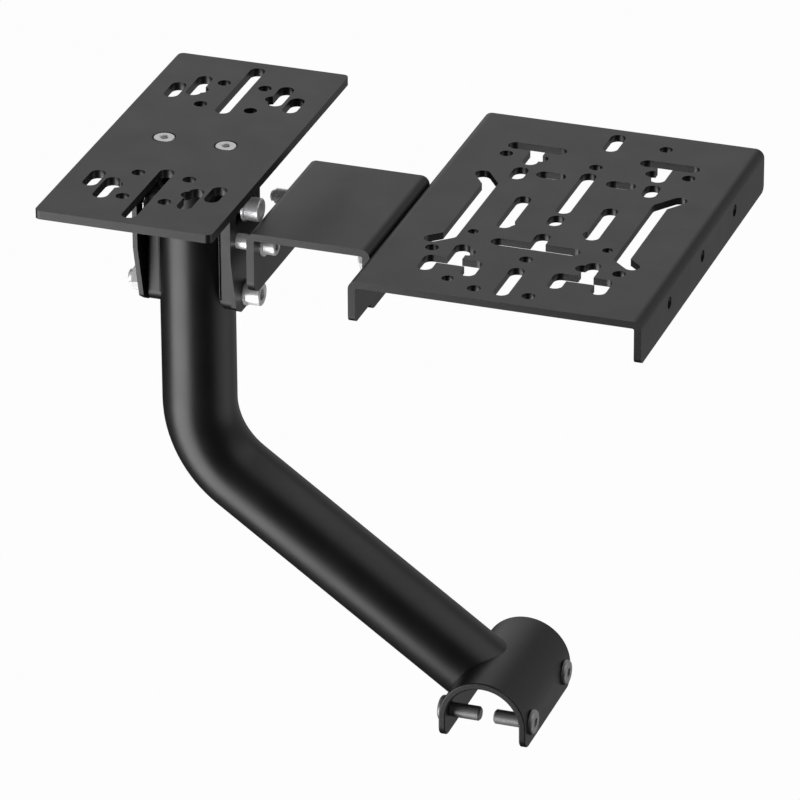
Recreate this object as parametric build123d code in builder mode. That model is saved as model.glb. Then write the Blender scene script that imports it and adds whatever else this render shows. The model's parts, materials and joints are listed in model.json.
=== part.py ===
from build123d import *
from math import sqrt
import os

# Shifter and handbrake mount in mm: the origin is the centre of the rail saddle's bore,
# +Y runs along the bore to the back and +Z is up. The arm leans to -X, the shifter deck lies to +X.

# Rail saddle: a half pipe with two straight legs, and the screws that clamp it
saddle_bore_r = 26.0
saddle_wall = 4.8
saddle_length = 100.0
saddle_leg = 15.6
saddle_toe_r = 8.0
saddle_edge_r = 0.9
clamp_d = 10.0
clamp_inset = 13.6
clamp_tip_gap = 9.8
clamp_tip_chamfer = 1.2
clamp_play = 0.05
clamp_head_d = 17.5
clamp_head_h = 3.2
clamp_head_r = 2.2
clamp_key = 6.0
clamp_key_depth = 3.6

# Arm: a round tube that climbs from the saddle, bends upright and stands under the head
tube_od = 50.8
tube_wall = 3.0
tube_bend_r = 67.5
head_x = -217.0
elbow_z = 153.6

# Tilt pivot, and the lock bolt that rides in the arc slots above it
pivot_z = 271.5
lock_reach = 62.0
tilt_limit = 12.0
bolt_d = 10.0
bolt_play = 0.08
bolt_head_d = 16.0
bolt_head_h = 10.0
bolt_head_r = 0.8
bolt_key = 8.0
bolt_key_depth = 5.0
bolt_tip_chamfer = 1.0
bolt_tail = 4.0
washer_d = 18.0
washer_t = 1.6
nut_width = 16.0
nut_h = 8.4

# Spacer lugs welded to both flanks of the tube
lug_face = 31.1
lug_width = 28.0
lug_above_lock = 15.5
lug_below_pivot = 11.5
lug_corner_r = 10.0

# Head bracket: a sheet bent over the tube's top into two tapered ears
head_play = 0.2
head_sheet = 3.3
head_bend_r = 5.0
ear_width = 58.0
ear_shoulder = 35.5
ear_waist = 39.2
ear_waist_drop = 4.1
ear_toe = 20.0
ear_drop = 10.3
ear_corner_r = 3.0
arc_slot_play = 0.9
run_play = 0.1

# Handbrake plate on top of the head bracket
hand_w = 122.6
hand_length = 268.0
hand_t = 6.0
hand_corner_r = 4.0
hand_rise = 99.5

# M8 hardware of the plate and of both links
screw_d = 8.0
screw_play = 0.1
screw_tip_chamfer = 0.8
flat_head_d = 16.0
flat_head_play = 0.1
flat_key = 5.0
flat_key_depth = 3.0
flat_screw_x = 21.8
screw_head_d = 13.0
screw_head_h = 8.0
screw_head_r = 0.6
screw_key = 6.0
screw_key_depth = 4.0
screw_washer_d = 16.0
screw_washer_t = 1.6
screw_nut_width = 13.0
screw_nut_h = 6.8
screw_tail = 2.0
nut_chamfer = 0.8
spacer_d = 10.4
spacer_length = 13.0

# Openings of both plates: the width of every slot and the common round holes
slot_w = 10.4
hole_d = 9.0
key_hole_d = 9.8

# Openings of the handbrake plate, from its centre, the same in all four quarters
hand_spine_y = 86.5
hand_spine_length = 78.0
hand_inner_x = 29.3
hand_inner_y = 86.0
hand_inner_length = 32.5
hand_key_x = 25.4
hand_key_y = 80.0
hand_outer_x = 42.4
hand_outer_y = 74.7
hand_outer_length = 24.6
hand_far_hole_x = 14.6
hand_far_hole_y = 95.3
hand_near_hole_x = 17.8
hand_near_hole_y = 57.9

# Link bracket between the head and the shifter deck
link_w = 86.2
link_length = 122.7
link_height = 45.3
link_sheet = 5.2
link_bend_r = 6.0
link_toe_r = 10.0
link_top_drop = 45.0
link_y = 27.75
joint_drop = 61.0
joint_front_y = -14.5
joint_pitch = 74.6
link_joints = 2
deck_joints = 3
side_hole_d = 8.4

# Shifter deck: an inverted tray with two flanges
deck_w = 199.8
deck_length = 281.8
deck_sheet = 5.0
deck_bend_r = 6.2
deck_flange = 30.3
deck_toe_r = 4.5
deck_top_drop = 46.8
deck_y = 64.0

# Openings of the shifter deck stand a little behind its centre and to the right of it
pattern_shift_x = 0.3
pattern_shift_y = 1.5

# Openings on the pattern's long centre line
spine_rear_inset = 21.9
spine_rear_length = 28.0
spine_rear_hole_y = 76.0
spine_long_y = 32.4
spine_long_length = 66.5
spine_short_y = -12.9
spine_short_length = 16.2
spine_front_hole_y = -75.6
spine_front_inset = 31.4
spine_front_length = 43.0
cross_y = -55.4
cross_length = 61.4
cross_stem_end = -34.6

# Openings that are paired left and right of that line
rear_bar_x = 46.8
rear_bar_y = 93.2
rear_bar_length = 41.5
stem_x = 45.0
stem_key_x = 39.3
rear_stem_end = 65.8
rear_key_y = 78.0
corner_hole_x = 64.3
rear_corner_hole_y = 78.8
front_corner_hole_y = -77.4
short_bar_x = 24.5
short_bar_y = 54.0
short_bar_length = 20.5
shoulder_x = 46.4
shoulder_y = 51.0
shoulder_length = 19.5
flare_x = 59.5
flare_rear_y = 29.4
flare_front_y = -55.6
flare_tip_x = 69.0
flare_rear_tip_y = 42.7
flare_front_tip_y = -64.2
inner_x = 30.3
inner_y = -8.6
inner_length = 51.5
inner_key_x = 28.3
inner_key_y = -26.0
pin_hole_x = 46.4
pin_hole_y = -45.6
pin_hole_d = 7.0
front_bar_x = 44.5
front_bar_y = -93.3
front_bar_length = 39.6
front_leg_spread = 14.8
front_leg_end = -111.6
front_stem_end = -66.6
front_key_y = -77.0
toe_hole_x = 18.6
toe_hole_inset = 14.8

# Single holes of the shifter deck: one on the right at the back, one on the left at the front
lone_rear_x = 36.4
lone_rear_y = 118.4
lone_front_x = -39.6
lone_front_y = -118.6
lone_front_d = 8.0

# Places that follow from the sizes above
saddle_r = saddle_bore_r + saddle_wall
clamp_y = saddle_length / 2 - clamp_inset
tube_r = tube_od / 2
lock_z = pivot_z + lock_reach
arm_top = lock_z + lug_above_lock
lug_bottom = pivot_z - lug_below_pivot
bolt_hole_r = bolt_d / 2 + bolt_play
ear_inside = lug_face + head_play
ear_outside = ear_inside + head_sheet
head_top = pivot_z + hand_rise
hand_top = head_top + hand_t
washer_seat = ear_outside + run_play
screw_hole_r = screw_d / 2 + screw_play
link_left = head_x + ear_outside + spacer_length
link_top = hand_top - link_top_drop
deck_left = link_left + link_w
deck_x = deck_left + deck_w / 2
deck_top = hand_top - deck_top_drop
deck_end = deck_length / 2
pattern_front = -deck_end - pattern_shift_y
pattern_rear = deck_end - pattern_shift_y
joint_z = hand_top - joint_drop
joint_rows = [joint_front_y + joint_pitch * row for row in range(deck_joints)]
link_rows = dict(zip(("front", "rear"), joint_rows[:link_joints]))
sides = {"left": -1, "right": 1}


def facing_x(x, y, z, side):
    """Plane at a point that faces +X for side 1 and -X for side -1."""
    return Plane((x, y, z), x_dir=(0, side, 0), z_dir=(side, 0, 0))


def layers(piece, seat):
    """The edges of a piece in groups, from behind the seat plane to in front of it."""
    return piece.edges().group_by(Axis(seat.origin, seat.z_dir))


def socket_screw(seat, shank_d, length, tip_chamfer, head_d, head_h, head_r, key, key_depth):
    """Socket screw whose head stands on the seat plane and whose shank runs in behind it."""
    with BuildPart() as screw:
        with BuildSketch(seat):
            Circle(head_d / 2)
        extrude(amount=head_h)
        fillet(layers(screw, seat)[-1], head_r)
        with BuildSketch(seat):
            Circle(shank_d / 2)
        extrude(amount=-length)
        chamfer(layers(screw, seat)[0], tip_chamfer)
        with BuildSketch(seat.offset(head_h)):
            RegularPolygon(key / 2, 6, major_radius=False)
        extrude(amount=-key_depth, mode=Mode.SUBTRACT)
    return screw


def link_screw(seat, length):
    """M8 socket screw of the links."""
    return socket_screw(seat, screw_d, length, screw_tip_chamfer, screw_head_d, screw_head_h,
                        screw_head_r, screw_key, screw_key_depth)


def hex_nut(seat, width, height, bore_r):
    """Hexagon nut that stands on the seat plane, its corners turned down at both faces."""
    corner_r = width / sqrt(3)
    with BuildPart() as nut:
        with BuildSketch(seat):
            RegularPolygon(width / 2, 6, major_radius=False)
            Circle(bore_r, mode=Mode.SUBTRACT)
        extrude(amount=height)
        with BuildSketch(Plane(seat.origin, x_dir=seat.x_dir, z_dir=-seat.y_dir)):
            with Locations((corner_r / 2, height / 2)):
                Rectangle(corner_r, height)
            chamfer(vertices().group_by(Axis.X)[-1], nut_chamfer)
        revolve(axis=Axis(seat.origin, seat.z_dir), mode=Mode.INTERSECT)
    return nut


def ring(seat, outer_d, bore_r, thickness):
    """Washer or spacer tube that stands on the seat plane."""
    with BuildPart() as collar:
        with BuildSketch(seat):
            Circle(outer_d / 2)
            Circle(bore_r, mode=Mode.SUBTRACT)
        extrude(amount=thickness)
    return collar


def facing_front(x, y, z):
    """Upright plane at a point that faces -Y."""
    return Plane((x, y, z), x_dir=(1, 0, 0), z_dir=(0, -1, 0))


def bent_section(width, height, sheet, bend_r):
    """Section of a sheet bent to an inverted U, hanging from the middle of its top face."""
    with BuildLine() as outline:
        FilletPolyline(
            (-width / 2, -height), (-width / 2, 0), (width / 2, 0), (width / 2, -height),
            radius=bend_r,
        )
        offset(amount=-sheet, side=Side.RIGHT)
    make_face(outline.edges())


def track(*centres):
    """Round-ended slot whose cutter runs from one centre to the next."""
    with BuildLine(mode=Mode.PRIVATE) as path:
        Polyline(*centres)
    SlotArc(path.wires()[0], slot_w)


def slots_along(length, rotation, *centres):
    """Straight slots of one length, across the plate at rotation 0 and along it at 90."""
    with Locations(*centres):
        SlotOverall(length, slot_w, rotation=rotation)


def holes(diameter, *centres):
    """Round holes of one size."""
    with Locations(*centres):
        Circle(diameter / 2)


# Rail saddle
with BuildPart() as saddle_clamp:
    with BuildSketch(Plane.XZ):
        Circle(saddle_r)
        Rectangle(2 * saddle_r, saddle_leg, align=(Align.CENTER, Align.MAX))
        Circle(saddle_bore_r, mode=Mode.SUBTRACT)
        with Locations((0, -saddle_leg)):
            Rectangle(2 * saddle_r, saddle_r, align=(Align.CENTER, Align.MAX), mode=Mode.SUBTRACT)
        Rectangle(2 * saddle_bore_r, saddle_leg, align=(Align.CENTER, Align.MAX), mode=Mode.SUBTRACT)
    extrude(amount=saddle_length / 2, both=True)
    fillet(saddle_clamp.edges().filter_by(Axis.X).group_by(Axis.Z)[0], saddle_toe_r)
    rims = saddle_clamp.faces().filter_by(Axis.Y).edges()
    fillet(rims - rims.filter_by(Axis.X), saddle_edge_r)
    with BuildSketch(Plane.YZ):
        holes(clamp_d + 2 * clamp_play, (clamp_y, 0), (-clamp_y, 0))
    extrude(amount=saddle_r, both=True, mode=Mode.SUBTRACT)

# Bent tube, coped over the saddle's back at its foot
with BuildPart() as arm_tube:
    with BuildLine(Plane.XZ) as arm_line:
        FilletPolyline((0, 0), (head_x, elbow_z), (head_x, arm_top), radius=tube_bend_r)
    with BuildSketch(Plane(arm_line.line @ 0, z_dir=arm_line.line % 0)):
        Circle(tube_r)
        Circle(tube_r - tube_wall, mode=Mode.SUBTRACT)
    sweep()
    with BuildSketch(Plane.XZ):
        Circle(saddle_r)
        Rectangle(2 * saddle_r, 2 * saddle_r, align=(Align.CENTER, Align.MAX))
    extrude(amount=saddle_length / 2, both=True, mode=Mode.SUBTRACT)
    with BuildSketch(Plane.YZ.offset(head_x)):
        holes(2 * bolt_hole_r, (0, pivot_z), (0, lock_z))
    extrude(amount=tube_od, both=True, mode=Mode.SUBTRACT)


def spacer_lug(side):
    """Block that fills the gap between the tube's flank and the ear on one side."""
    with BuildPart() as lug:
        with BuildSketch(facing_x(head_x, 0, 0, side)):
            with Locations((0, (arm_top + lug_bottom) / 2)):
                RectangleRounded(lug_width, arm_top - lug_bottom, lug_corner_r)
        extrude(amount=lug_face)
        with BuildSketch(Plane((head_x, 0, lug_bottom))):
            Circle(tube_r)
        extrude(amount=arm_top - lug_bottom, mode=Mode.SUBTRACT)
        with BuildSketch(facing_x(head_x, 0, 0, side)):
            holes(2 * bolt_hole_r, (0, pivot_z), (0, lock_z))
        extrude(amount=lug_face, mode=Mode.SUBTRACT)
    return lug


# Head bracket: the ears carry the pivot hole and the arc slot, the web the plate
with BuildPart() as head_bracket:
    with BuildSketch(facing_front(head_x, 0, head_top)):
        bent_section(2 * ear_outside, hand_rise + ear_drop, head_sheet, head_bend_r)
    extrude(amount=ear_width / 2, both=True)
    with BuildSketch(Plane.YZ.offset(head_x)) as ear:
        with BuildLine():
            ear_edge = [
                (ear_width / 2, head_top),
                (ear_width / 2, pivot_z + ear_shoulder),
                (ear_waist / 2, pivot_z - ear_waist_drop),
                (ear_toe / 2, pivot_z - ear_drop),
            ]
            Polyline(*ear_edge, *[(-y, z) for y, z in reversed(ear_edge)], close=True)
        make_face()
        fillet(ear.vertices().filter_by_position(Axis.Y, 0, pivot_z), ear_corner_r)
    extrude(amount=ear_outside, both=True, mode=Mode.INTERSECT)
    with BuildSketch(Plane.YZ.offset(head_x)):
        with BuildLine(mode=Mode.PRIVATE) as swing:
            CenterArc((0, pivot_z), lock_reach, 90 - tilt_limit, 2 * tilt_limit)
        SlotArc(swing.edges()[0], bolt_d + arc_slot_play)
        holes(2 * bolt_hole_r, (0, pivot_z))
    extrude(amount=ear_outside, both=True, mode=Mode.SUBTRACT)
    with BuildSketch(Plane.YZ.offset(head_x)):
        holes(2 * screw_hole_r, (link_rows["front"], joint_z))
    extrude(amount=ear_outside, mode=Mode.SUBTRACT)
    with Locations(*[(head_x + side * flat_screw_x, 0, head_top) for side in sides.values()]):
        Hole(screw_hole_r, depth=head_sheet)

# Handbrake plate: one quarter of the openings is drawn and mirrored both ways
with BuildPart() as handbrake_plate:
    with BuildSketch(Plane((head_x, 0, head_top))):
        RectangleRounded(hand_w, hand_length, hand_corner_r)
        with BuildSketch(mode=Mode.SUBTRACT):
            slots_along(hand_spine_length, 90, (0, hand_spine_y))
            slots_along(hand_inner_length, 90, (hand_inner_x, hand_inner_y))
            slots_along(hand_outer_length, 90, (hand_outer_x, hand_outer_y))
            holes(key_hole_d, (hand_key_x, hand_key_y))
            holes(hole_d, (hand_far_hole_x, hand_far_hole_y), (hand_near_hole_x, hand_near_hole_y))
            mirror(about=Plane.YZ)
            mirror(about=Plane.XZ)
    extrude(amount=hand_t)
    with Locations(*[(head_x + side * flat_screw_x, 0, hand_top) for side in sides.values()]):
        CounterSinkHole(screw_hole_r, flat_head_d / 2 + flat_head_play, counter_sink_angle=90)

# Link bracket
with BuildPart() as link_bracket:
    with BuildSketch(facing_front(link_left + link_w / 2, link_y, link_top)):
        bent_section(link_w, link_height, link_sheet, link_bend_r)
    extrude(amount=link_length / 2, both=True)
    fillet(link_bracket.edges().filter_by(Axis.X).group_by(Axis.Z)[0], link_toe_r)
    with BuildSketch(Plane.YZ.offset(link_left)):
        holes(2 * screw_hole_r, *[(y, joint_z) for y in link_rows.values()])
    extrude(amount=link_w, mode=Mode.SUBTRACT)

# Shifter deck: the paired openings are drawn on the right and mirrored
with BuildSketch() as deck_openings:
    slots_along(rear_bar_length, 0, (rear_bar_x, rear_bar_y))
    track((stem_x, rear_bar_y), (stem_x, rear_stem_end + slot_w / 2))
    holes(key_hole_d, (stem_key_x, rear_key_y), (stem_key_x, front_key_y), (inner_key_x, inner_key_y))
    slots_along(short_bar_length, 0, (short_bar_x, short_bar_y))
    slots_along(shoulder_length, 90, (shoulder_x, shoulder_y))
    track(
        (flare_tip_x, flare_rear_tip_y), (flare_x, flare_rear_y),
        (flare_x, flare_front_y), (flare_tip_x, flare_front_tip_y),
    )
    slots_along(inner_length, 90, (inner_x, inner_y))
    slots_along(front_bar_length, 0, (front_bar_x, front_bar_y))
    track((stem_x, front_bar_y), (stem_x, front_stem_end - slot_w / 2))
    for leg_x in (front_bar_x - front_leg_spread, front_bar_x + front_leg_spread):
        track((leg_x, front_bar_y), (leg_x, front_leg_end + slot_w / 2))
    holes(pin_hole_d, (pin_hole_x, pin_hole_y))
    holes(hole_d, (corner_hole_x, rear_corner_hole_y), (corner_hole_x, front_corner_hole_y))
    holes(hole_d, (toe_hole_x, pattern_front + toe_hole_inset))
    mirror(about=Plane.YZ)
    slots_along(spine_rear_length, 90, (0, pattern_rear - spine_rear_inset))
    slots_along(spine_long_length, 90, (0, spine_long_y))
    slots_along(spine_short_length, 90, (0, spine_short_y))
    slots_along(spine_front_length, 90, (0, pattern_front + spine_front_inset))
    slots_along(cross_length, 0, (0, cross_y))
    track((0, cross_y), (0, cross_stem_end - slot_w / 2))
    holes(hole_d, (0, spine_rear_hole_y), (0, spine_front_hole_y), (lone_rear_x, lone_rear_y))
    holes(lone_front_d, (lone_front_x, lone_front_y))

with BuildPart() as shifter_plate:
    with BuildSketch(facing_front(deck_x, deck_y, deck_top)):
        bent_section(deck_w, deck_flange, deck_sheet, deck_bend_r)
    extrude(amount=deck_end, both=True)
    fillet(shifter_plate.edges().filter_by(Axis.X).group_by(Axis.Z)[0], deck_toe_r)
    with BuildSketch(Plane((deck_x + pattern_shift_x, deck_y + pattern_shift_y, deck_top))):
        add(deck_openings.sketch)
    extrude(amount=-deck_sheet, mode=Mode.SUBTRACT)
    with BuildSketch(Plane.YZ.offset(deck_left)):
        holes(2 * screw_hole_r, *[(y, joint_z) for y in joint_rows])
    extrude(amount=deck_sheet, mode=Mode.SUBTRACT)
    with BuildSketch(Plane.YZ.offset(deck_left + deck_w)):
        holes(side_hole_d, *[(y, joint_z) for y in joint_rows])
    extrude(amount=-deck_sheet, mode=Mode.SUBTRACT)

pieces = {
    "saddle_clamp": saddle_clamp,
    "arm_tube": arm_tube,
    "head_bracket": head_bracket,
    "handbrake_plate": handbrake_plate,
    "link_bracket": link_bracket,
    "shifter_plate": shifter_plate,
}

# Lugs and clamp screws, left and right of the saddle's and the arm's centre planes
for side_name, side in sides.items():
    pieces[f"lug_{side_name}"] = spacer_lug(side)
    for end_name, end in (("front", -1), ("rear", 1)):
        pieces[f"clamp_screw_{side_name}_{end_name}"] = socket_screw(
            facing_x(side * saddle_r, end * clamp_y, 0, side), clamp_d,
            saddle_r - clamp_tip_gap / 2, clamp_tip_chamfer, clamp_head_d, clamp_head_h,
            clamp_head_r, clamp_key, clamp_key_depth,
        )

# Pivot and lock bolts, each with a washer against either ear and a nut on the left
bolt_length = 2 * (washer_seat + washer_t) + nut_h + bolt_tail
for bolt_name, bolt_z in (("pivot", pivot_z), ("lock", lock_z)):
    pieces[f"{bolt_name}_bolt"] = socket_screw(
        facing_x(head_x + washer_seat + washer_t, 0, bolt_z, 1), bolt_d, bolt_length,
        bolt_tip_chamfer, bolt_head_d, bolt_head_h, bolt_head_r, bolt_key, bolt_key_depth,
    )
    for side_name, side in sides.items():
        pieces[f"{bolt_name}_washer_{side_name}"] = ring(
            facing_x(head_x + side * washer_seat, 0, bolt_z, side), washer_d, bolt_hole_r, washer_t
        )
    pieces[f"{bolt_name}_nut"] = hex_nut(
        facing_x(head_x - washer_seat - washer_t, 0, bolt_z, -1), nut_width, nut_h, bolt_hole_r
    )

# Flat screws that hold the handbrake plate, with nuts under the web
flat_screw_length = hand_t + head_sheet + screw_nut_h + screw_tail
flat_head_depth = (flat_head_d - screw_d) / 2
for side_name, side in sides.items():
    screw_x = head_x + side * flat_screw_x
    with BuildPart() as plate_screw:
        with BuildSketch(facing_front(screw_x, 0, hand_top)):
            with BuildLine():
                Polyline(
                    (0, 0), (flat_head_d / 2, 0), (screw_d / 2, -flat_head_depth),
                    (screw_d / 2, screw_tip_chamfer - flat_screw_length),
                    (screw_d / 2 - screw_tip_chamfer, -flat_screw_length),
                    (0, -flat_screw_length), close=True,
                )
            make_face()
        revolve(axis=Axis((screw_x, 0, hand_top), (0, 0, 1)))
        with BuildSketch(Plane((screw_x, 0, hand_top))):
            RegularPolygon(flat_key / 2, 6, major_radius=False)
        extrude(amount=-flat_key_depth, mode=Mode.SUBTRACT)
    pieces[f"plate_screw_{side_name}"] = plate_screw
    under_web = Plane((screw_x, 0, head_top - head_sheet), z_dir=(0, 0, -1))
    pieces[f"plate_nut_{side_name}"] = hex_nut(
        under_web, screw_nut_width, screw_nut_h, screw_hole_r
    )

# Screws of the two link joints: into the ear over spacers, and through the deck into nuts
link_grip = head_sheet + spacer_length + link_sheet + screw_washer_t
deck_grip = screw_washer_t + deck_sheet + link_sheet + screw_nut_h + screw_tail
for row_name, row_y in link_rows.items():
    link_inner = link_left + link_sheet
    pieces[f"link_screw_{row_name}"] = link_screw(
        facing_x(link_inner + screw_washer_t, row_y, joint_z, 1), link_grip
    )
    pieces[f"link_washer_{row_name}"] = ring(
        facing_x(link_inner, row_y, joint_z, 1), screw_washer_d, screw_hole_r, screw_washer_t
    )
    pieces[f"link_spacer_{row_name}"] = ring(
        facing_x(link_left, row_y, joint_z, -1), spacer_d, screw_hole_r, spacer_length
    )
    deck_inner = deck_left + deck_sheet
    pieces[f"deck_screw_{row_name}"] = link_screw(
        facing_x(deck_inner + screw_washer_t, row_y, joint_z, 1), deck_grip
    )
    pieces[f"deck_washer_{row_name}"] = ring(
        facing_x(deck_inner, row_y, joint_z, 1), screw_washer_d, screw_hole_r, screw_washer_t
    )
    pieces[f"deck_nut_{row_name}"] = hex_nut(
        facing_x(deck_left - link_sheet, row_y, joint_z, -1), screw_nut_width, screw_nut_h,
        screw_hole_r,
    )

os.makedirs("parts", exist_ok=True)
for name, piece in pieces.items():
    piece.part.label = name
    export_step(piece.part, f"parts/{name}.step")
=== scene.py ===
import json
import math
import bmesh
import bpy
from mathutils import Matrix, Vector


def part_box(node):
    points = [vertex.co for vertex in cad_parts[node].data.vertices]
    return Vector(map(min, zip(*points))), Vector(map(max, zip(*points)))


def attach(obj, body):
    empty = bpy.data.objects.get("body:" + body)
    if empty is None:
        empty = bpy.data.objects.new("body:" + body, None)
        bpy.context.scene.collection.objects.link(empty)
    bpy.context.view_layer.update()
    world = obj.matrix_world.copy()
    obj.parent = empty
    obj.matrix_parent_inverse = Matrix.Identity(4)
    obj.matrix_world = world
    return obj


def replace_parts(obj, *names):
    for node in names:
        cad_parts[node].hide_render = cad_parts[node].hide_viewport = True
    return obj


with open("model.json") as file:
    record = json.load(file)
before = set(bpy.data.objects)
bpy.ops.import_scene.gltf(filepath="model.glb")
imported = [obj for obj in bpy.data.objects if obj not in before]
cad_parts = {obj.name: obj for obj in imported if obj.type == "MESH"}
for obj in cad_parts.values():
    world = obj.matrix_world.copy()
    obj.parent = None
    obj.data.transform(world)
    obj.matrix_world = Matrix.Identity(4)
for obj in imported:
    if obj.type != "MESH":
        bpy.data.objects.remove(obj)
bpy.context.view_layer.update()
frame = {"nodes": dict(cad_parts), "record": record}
nodes = frame["nodes"]

slot_of = {part["node"]: part["material_slot"] for part in frame["record"]["subparts"]}
body_of = {node: body
           for body, names in frame["record"]["behaviour"]["bodies"].items()
           for node in names}

# Lengths are in metres, and the camera's and the lobes' angles in degrees

PHOTO_SIDE = 800
CAMERA_PLACE = (1.23890, -3.77990, 2.21710)
CAMERA_AZIMUTH = 19.157
CAMERA_ELEVATION = 26.660
CAMERA_ROLL = -0.299
CAMERA_REACH = 50
FOCAL_PIXELS = 6711.88
SENSOR = 36.0

FLOOR_Z = -0.85
FLOOR_SIDE = 30.0
FLOOR_COLOUR = (0.9, 0.9, 0.9, 1)
FLOOR_GLOW = 0.97

# The world's even light, and its soft lobes by azimuth, elevation, half width and strength
WORLD_BASE = 0.02
LOBES = (
    (212, 27, 44, 0.95),
    (150, -5, 60, 0.42),
    (98, -27, 34, 1.05),
    (92, 50, 46, 1.45),
)

# The key lamp, the lamp of the bright hardware, and the lamps under the two plates, which stand in
# for the light of the lobes where a plate hides it
KEY = dict(place=(-0.82, -0.735, -0.27), target=(-0.21, -0.025, 0.22), size=1.04, watts=13)
HARDWARE = dict(place=(-0.46, -1.15, -0.5), target=(-0.16, 0, 0.25), size=2.0, watts=30)
UNDER_PLATE = dict(over="handbrake_plate", drop=0.0105, radiance=0.62, receiver="link_bracket")
UNDER_DECK = dict(over="shifter_plate", drop=0.0055, radiance=0.9, receiver="arm_tube")

# Most of a noise texture's values lie between these
NOISE_LOW = 0.3
NOISE_HIGH = 0.7

# Finishes by material slot. Clouds mix the two colours and the two roughnesses, and a grain gives
# the relief: orange peel on the coat, machining marks on the metals
CLOUD_DETAIL = 3.0
FINISHES = {
    "powder_coat": dict(
        dark=(0.0085, 0.0085, 0.009), light=(0.0115, 0.0115, 0.012), metallic=0.0,
        smooth=0.36, rough=0.41, cloud=38.0,
        grain=1500.0, grain_detail=2.0, relief=0.18, depth=0.00006),
    "bright_steel": dict(
        dark=(0.8, 0.8, 0.81), light=(0.88, 0.88, 0.89), metallic=0.45,
        smooth=0.26, rough=0.36, cloud=900.0,
        grain=900.0, grain_detail=3.0, relief=0.1, depth=0.00003),
    "dark_screw": dict(
        dark=(0.34, 0.34, 0.345), light=(0.42, 0.42, 0.425), metallic=0.55,
        smooth=0.42, rough=0.5, cloud=700.0,
        grain=700.0, grain_detail=3.0, relief=0.1, depth=0.00003),
}

# Screws: their shank's and head's radius, the head's height, the key's width across flats and its
# socket's depth, the thread's pitch and length, and the width of a rounded or broken edge
CAP_M10 = dict(radius=0.005, head_radius=0.008, head=0.010, key=0.008, depth=0.005,
               pitch=0.0015, threaded=0.026)
CAP_M8 = dict(radius=0.004, head_radius=0.0065, head=0.008, key=0.006, depth=0.004,
              pitch=0.00125, threaded=0.030)
BUTTON_M10 = dict(radius=0.005, tip=0.0012, head_radius=0.00875, head=0.0032, edge=0.0022,
                  key=0.006, depth=0.0036)
FLAT_M8 = dict(radius=0.004, head_radius=0.0070, rim=0.0003, key=0.005, depth=0.0042,
               pitch=0.00125)

# Details that the screws share. The neck is the least plain length under a cap head. The crown is
# that head's rounded upper edge: each ring's distance below the top and in from the side, in edges
EDGE = 0.0005
CROWN = ((1, 0.25), (0, 1.4))
KNURL = 0.00014
NECK = 0.002
SOCKET_RIM = 0.0003
SOCKET_CENTRE = 1 / 3
THREAD_DEPTH = 0.55
RINGS_PER_TURN = 6
ROUND_STEPS = 6
SEGMENTS = 72
SHARP_ANGLE = math.radians(28)

# Weld beads beside the lugs. The ripple is a share of the radius, and its length is in steps
TUBE_X = -0.217
TUBE_RADIUS = 0.0254
LUG_CORNER = 0.010
BEAD_RADIUS = 0.0009
BEAD_STEP = 0.0003
BEAD_SEGMENTS = 12
RIPPLE = 0.12
RIPPLE_STEPS = 6

ENDS = ("front", "rear")
LEFT, RIGHT = -1, 1
SIDES = (("left", LEFT), ("right", RIGHT))
UP = Vector((0, 0, 1))


def direction(azimuth, elevation):
    """Unit vector to a point of the studio: azimuth 0 is the front, -Y, and 90 is the right, +X."""
    a, e = math.radians(azimuth), math.radians(elevation)
    return Vector((math.sin(a) * math.cos(e), -math.cos(a) * math.cos(e), math.sin(e)))


def make_camera():
    """Camera, solved from the photograph's parallel edges."""
    roll = math.radians(CAMERA_ROLL)
    forward = -direction(CAMERA_AZIMUTH, CAMERA_ELEVATION)
    level = direction(CAMERA_AZIMUTH + 90, 0)
    upright = level.cross(forward)
    right = math.cos(roll) * level + math.sin(roll) * upright
    up = math.cos(roll) * upright - math.sin(roll) * level
    data = bpy.data.cameras.new("camera")
    data.sensor_width = SENSOR
    data.lens = FOCAL_PIXELS * SENSOR / PHOTO_SIDE
    data.clip_end = CAMERA_REACH
    camera = bpy.data.objects.new("camera", data)
    turn = Matrix((right, up, -forward)).transposed().to_4x4()
    camera.matrix_world = Matrix.Translation(CAMERA_PLACE) @ turn
    bpy.context.collection.objects.link(camera)
    bpy.context.scene.camera = camera


def new_node(tree, kind, values, links):
    """Shader node with numbers on some of its inputs and other nodes' outputs on others."""
    node = tree.nodes.new(kind)
    for name, value in values.items():
        node.inputs[name].default_value = value
    for name, output in links.items():
        tree.links.new(output, node.inputs[name])
    return node


def map_range(tree, value, from_low, from_high, low, high):
    """Node that takes a value from one range to another."""
    return new_node(tree, "ShaderNodeMapRange",
                    {"From Min": from_low, "From Max": from_high, "To Min": low, "To Max": high},
                    {"Value": value})


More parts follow.
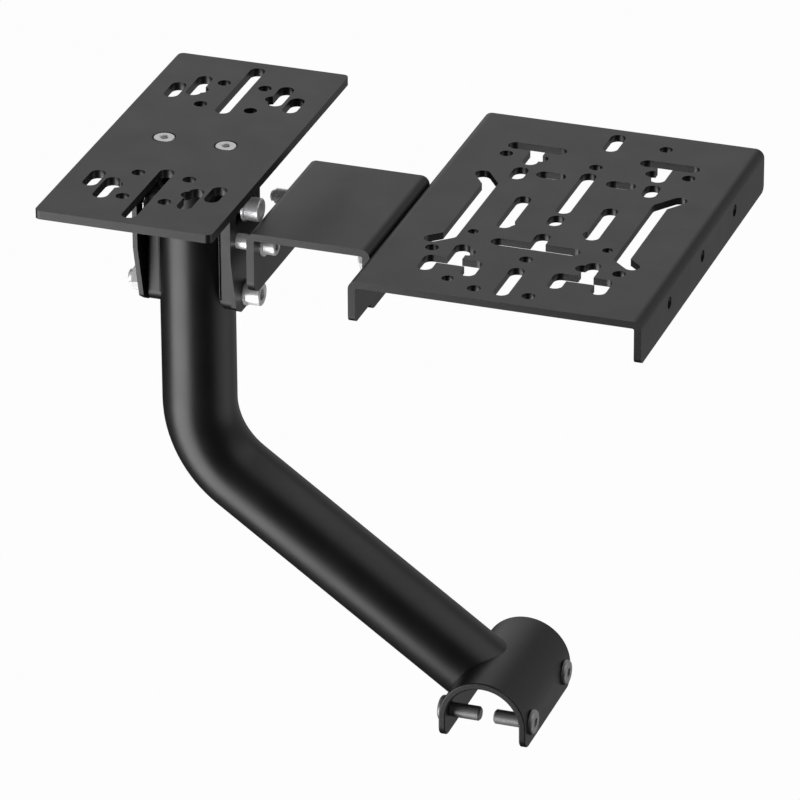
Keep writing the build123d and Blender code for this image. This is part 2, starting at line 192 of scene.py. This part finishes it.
def make_world():
    """The studio: soft lobes that light the object and show in it, and white for the camera."""
    world = bpy.data.worlds.new("studio")
    bpy.context.scene.world = world
    world.use_nodes = True
    tree = world.node_tree
    tree.nodes.clear()
    coords = tree.nodes.new("ShaderNodeTexCoord").outputs["Generated"]
    total = None
    for azimuth, elevation, half_width, strength in LOBES:
        dot = new_node(tree, "ShaderNodeVectorMath", {1: direction(azimuth, elevation)},
                       {0: coords})
        dot.operation = "DOT_PRODUCT"
        lobe = map_range(tree, dot.outputs["Value"], math.cos(math.radians(half_width)), 1.0,
                         0.0, strength)
        lobe.interpolation_type = "SMOOTHSTEP"
        add = new_node(tree, "ShaderNodeMath", {0: WORLD_BASE}, {1: lobe.outputs["Result"]})
        add.operation = "ADD"
        if total is not None:
            tree.links.new(total, add.inputs[0])
        total = add.outputs["Value"]
    studio = new_node(tree, "ShaderNodeBackground", {}, {"Strength": total})
    white = new_node(tree, "ShaderNodeBackground", {}, {})
    rays = tree.nodes.new("ShaderNodeLightPath")
    mix = new_node(tree, "ShaderNodeMixShader", {},
                   {"Fac": rays.outputs["Is Camera Ray"], 1: studio.outputs["Background"],
                    2: white.outputs["Background"]})
    new_node(tree, "ShaderNodeOutputWorld", {}, {"Surface": mix.outputs["Shader"]})


def make_floor():
    """Pale floor that the lamps hardly light, so that it stays even and white."""
    bpy.ops.mesh.primitive_plane_add(size=FLOOR_SIDE, location=(0, 0, FLOOR_Z))
    floor = bpy.context.object
    floor.name = "floor"
    material = bpy.data.materials.new("floor")
    material.use_nodes = True
    tree = material.node_tree
    tree.nodes.clear()
    diffuse = new_node(tree, "ShaderNodeBsdfDiffuse", {"Color": FLOOR_COLOUR}, {})
    glow = new_node(tree, "ShaderNodeEmission", {}, {})
    mix = new_node(tree, "ShaderNodeMixShader", {"Fac": FLOOR_GLOW},
                   {1: diffuse.outputs["BSDF"], 2: glow.outputs["Emission"]})
    new_node(tree, "ShaderNodeOutputMaterial", {}, {"Surface": mix.outputs["Shader"]})
    floor.data.materials.append(material)
    floor.visible_glossy = False
    floor.visible_diffuse = False


def area_lamp(name, shape, place, size, watts):
    """Lamp that faces down and doesn't show in the picture."""
    data = bpy.data.lights.new(name, "AREA")
    data.shape = shape
    data.size = size
    data.energy = watts
    lamp = bpy.data.objects.new(name, data)
    lamp.location = place
    lamp.visible_camera = False
    bpy.context.collection.objects.link(lamp)
    return lamp


def disk_lamp(name, place, target, size, watts):
    """Round lamp that faces a target."""
    lamp = area_lamp(name, "DISK", place, size, watts)
    aim = Vector(target) - Vector(place)
    lamp.rotation_euler = aim.to_track_quat("-Z", "Y").to_euler()
    return lamp


def receivers(lamp):
    """Empty collection of what a lamp lights. It lights nothing else."""
    group = bpy.data.collections.new(lamp.name)
    lamp.light_linking.receiver_collection = group
    return group


def undersheet_lamp(name, over, drop, radiance, receiver):
    """Lamp for one node, as wide as a sheet and a drop below the sheet's upper face."""
    low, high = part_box(over)
    width, depth = high[0] - low[0], high[1] - low[1]
    place = ((low[0] + high[0]) / 2, (low[1] + high[1]) / 2, high[2] - drop)
    lamp = area_lamp(name, "RECTANGLE", place, width, math.pi * radiance * width * depth)
    lamp.data.size_y = depth
    receivers(lamp).objects.link(nodes[receiver])


def noise(tree, coords, scale, detail):
    texture = new_node(tree, "ShaderNodeTexNoise", {"Scale": scale, "Detail": detail},
                       {"Vector": coords})
    return texture.outputs["Fac"]


def finish(name, dark, light, metallic, smooth, rough, cloud, grain, grain_detail, relief, depth):
    """Material of one slot, in the object's own coordinates."""
    material = bpy.data.materials.new(name)
    material.use_nodes = True
    tree = material.node_tree
    coords = tree.nodes.new("ShaderNodeTexCoord").outputs["Object"]
    clouds = noise(tree, coords, cloud, CLOUD_DETAIL)
    colours = new_node(tree, "ShaderNodeValToRGB", {}, {"Fac": clouds})
    for stop, place, colour in zip(colours.color_ramp.elements, (NOISE_LOW, NOISE_HIGH),
                                   (dark, light)):
        stop.position = place
        stop.color = (*colour, 1)
    gloss = map_range(tree, clouds, NOISE_LOW, NOISE_HIGH, smooth, rough)
    bump = new_node(tree, "ShaderNodeBump", {"Strength": relief, "Distance": depth},
                    {"Height": noise(tree, coords, grain, grain_detail)})
    bsdf = tree.nodes["Principled BSDF"]
    bsdf.inputs["Metallic"].default_value = metallic
    tree.links.new(colours.outputs["Color"], bsdf.inputs["Base Color"])
    tree.links.new(gloss.outputs["Result"], bsdf.inputs["Roughness"])
    tree.links.new(bump.outputs["Normal"], bsdf.inputs["Normal"])
    return material


def dress(piece, slot):
    """Gives a piece its finish, and the hardware's lamp if it is bright."""
    piece.data.materials.clear()
    piece.data.materials.append(finishes[slot])
    if slot == "bright_steel":
        hardware.objects.link(piece)


def piece_of(name, mesh, node):
    """Object of a built mesh, on the body and in the finish of a CAD node."""
    bmesh.ops.recalc_face_normals(mesh, faces=mesh.faces)
    for face in mesh.faces:
        face.smooth = True
    for edge in mesh.edges:
        edge.smooth = edge.calc_face_angle(0) < SHARP_ANGLE
    data = bpy.data.meshes.new(name)
    mesh.to_mesh(data)
    mesh.free()
    piece = bpy.data.objects.new(name, data)
    bpy.context.collection.objects.link(piece)
    dress(piece, slot_of[node])
    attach(piece, body_of[node])
    return piece


def stand_in(node, mesh):
    """Shows a detailed mesh in place of a plain CAD screw."""
    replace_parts(piece_of(f"detailed_{node}", mesh, node), node)


def lathe(origin, along, rings, segments):
    """Closed mesh round an axis from rings of (distance along it, radius by angle)."""
    mesh = bmesh.new()
    side = along.orthogonal().normalized()
    other = along.cross(side)
    loops = []
    for offset, radius in rings:
        loop = []
        for k in range(segments):
            angle = math.tau * k / segments
            outward = side * math.cos(angle) + other * math.sin(angle)
            loop.append(mesh.verts.new(origin + along * offset + outward * radius(angle)))
        loops.append(loop)
    for low, high in zip(loops, loops[1:]):
        for k in range(segments):
            mesh.faces.new((low[k - 1], low[k], high[k], high[k - 1]))
    mesh.faces.new(loops[0])
    mesh.faces.new(loops[-1])
    return mesh


def circle(radius):
    return lambda angle: radius


def knurled(radius):
    """Circle with a straight knurl: every other point stands lower."""
    return lambda angle: radius - KNURL * (round(angle * SEGMENTS / math.tau) % 2)


def hexagon(width):
    """Hexagon by its width across flats."""
    sixth = math.tau / 6
    return lambda angle: width / 2 / math.cos((angle + sixth / 2) % sixth - sixth / 2)


def thread(radius, pitch, offset):
    """One ring of a V thread: the groove's depth turns with the angle."""
    deepest = THREAD_DEPTH * pitch

    def at(angle):
        turn = (offset / pitch - angle / math.tau) % 1
        return radius - deepest * abs(2 * turn - 1)
    return at


def shank(radius, pitch, length, threaded):
    """Rings of a threaded shank from its chamfered tip towards the head, which starts at 0."""
    tip = radius - THREAD_DEPTH * pitch
    start = EDGE - length
    step = pitch / RINGS_PER_TURN
    count = int(threaded / step)
    rings = [(-length, circle(tip - EDGE)), (start, circle(tip))]
    for k in range(1, count):
        offset = start + k * step
        rings.append((offset, thread(radius, pitch, offset)))
    rings.append((start + count * step, circle(radius)))
    return rings


def socket(top, key, depth):
    """Rings of a hexagon socket, sunk into a head's top from a circle round its corners."""
    mouth = key / math.sqrt(3) + SOCKET_RIM
    return [(top, circle(mouth)), (top - SOCKET_RIM, hexagon(key)), (top - depth, hexagon(key)),
            (top - depth, hexagon(key * SOCKET_CENTRE))]


def along_x(node, sign, head):
    """Centre of the seat, outward axis and length behind the seat of a screw along X."""
    low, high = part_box(node)
    far = high[0] if sign > 0 else low[0]
    seat = Vector((far - sign * head, (low[1] + high[1]) / 2, (low[2] + high[2]) / 2))
    return seat, Vector((sign, 0, 0)), high[0] - low[0] - head


def cap_screw(node, radius, head_radius, head, key, depth, pitch, threaded):
    """Socket cap screw with a knurled head, which is at the right."""
    seat, axis, length = along_x(node, RIGHT, head)
    rings = shank(radius, pitch, length, min(threaded, length - NECK))
    rings += [(0, circle(radius)), (0, circle(head_radius - EDGE)), (EDGE, circle(head_radius)),
              (2 * EDGE, knurled(head_radius)), (head - 3 * EDGE, knurled(head_radius)),
              (head - 2 * EDGE, circle(head_radius))]
    rings += [(head - below * EDGE, circle(head_radius - inset * EDGE))
              for below, inset in CROWN]
    rings += socket(head, key, depth)
    stand_in(node, lathe(seat, axis, rings, SEGMENTS))


def button_screw(node, sign, radius, tip, head_radius, head, edge, key, depth):
    """Low head with a rounded edge, on a plain shank with a chamfered tip."""
    seat, axis, length = along_x(node, sign, head)
    rings = [(-length, circle(radius - tip)), (tip - length, circle(radius)),
             (0, circle(radius)), (0, circle(head_radius))]
    for k in range(ROUND_STEPS + 1):
        turn = math.pi / 2 * k / ROUND_STEPS
        rings.append((head - edge + edge * math.sin(turn),
                      circle(head_radius - edge + edge * math.cos(turn))))
    rings += socket(head, key, depth)
    stand_in(node, lathe(seat, axis, rings, SEGMENTS))


def flat_screw(node, radius, head_radius, rim, key, depth, pitch):
    """Countersunk screw with a broken rim, so that a groove shows round its head."""
    low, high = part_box(node)
    top = Vector(((low[0] + high[0]) / 2, (low[1] + high[1]) / 2, high[2]))
    length = high[2] - low[2]
    cone = (high[0] - low[0]) / 2
    rings = shank(radius, pitch, length, length - cone + radius - 2 * EDGE)
    rings += [(radius - cone, circle(radius)), (head_radius - cone, circle(head_radius)),
              (-rim, circle(head_radius)), (0, circle(head_radius - rim))]
    rings += socket(0, key, depth)
    stand_in(node, lathe(top, UP, rings, SEGMENTS))


def lug_beads(side, sign):
    """Rippled beads up both long edges of a lug, half sunk where it meets the tube's flank."""
    lug = f"lug_{side}"
    low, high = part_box(lug)
    bottom, top = low[2] + LUG_CORNER, high[2] - LUG_CORNER
    steps = int((top - bottom) / BEAD_STEP)
    rings = []
    for k in range(steps + 1):
        swell = 1 + RIPPLE * math.sin(math.tau * k / RIPPLE_STEPS)
        rings.append(((top - bottom) * k / steps, circle(BEAD_RADIUS * swell)))
    for end, y in zip(ENDS, (low[1], high[1])):
        x = TUBE_X + sign * math.sqrt(TUBE_RADIUS ** 2 - y ** 2)
        mesh = lathe(Vector((x, y, bottom)), UP, rings, BEAD_SEGMENTS)
        piece_of(f"weld_{side}_{end}", mesh, lug)


make_camera()
make_world()
make_floor()
disk_lamp("key", **KEY)
hardware = receivers(disk_lamp("hardware", **HARDWARE))
undersheet_lamp("plate_underside", **UNDER_PLATE)
undersheet_lamp("deck_underside", **UNDER_DECK)

finishes = {slot: finish(slot, **values) for slot, values in FINISHES.items()}
for node, slot in slot_of.items():
    dress(nodes[node], slot)

for name in ("pivot", "lock"):
    cap_screw(f"{name}_bolt", **CAP_M10)
for joint in ("link", "deck"):
    for end in ENDS:
        cap_screw(f"{joint}_screw_{end}", **CAP_M8)
for side, sign in SIDES:
    flat_screw(f"plate_screw_{side}", **FLAT_M8)
    for end in ENDS:
        button_screw(f"clamp_screw_{side}_{end}", sign, **BUTTON_M10)
for side, sign in SIDES:
    lug_beads(side, sign)

bpy.context.scene.view_settings.view_transform = "Standard"
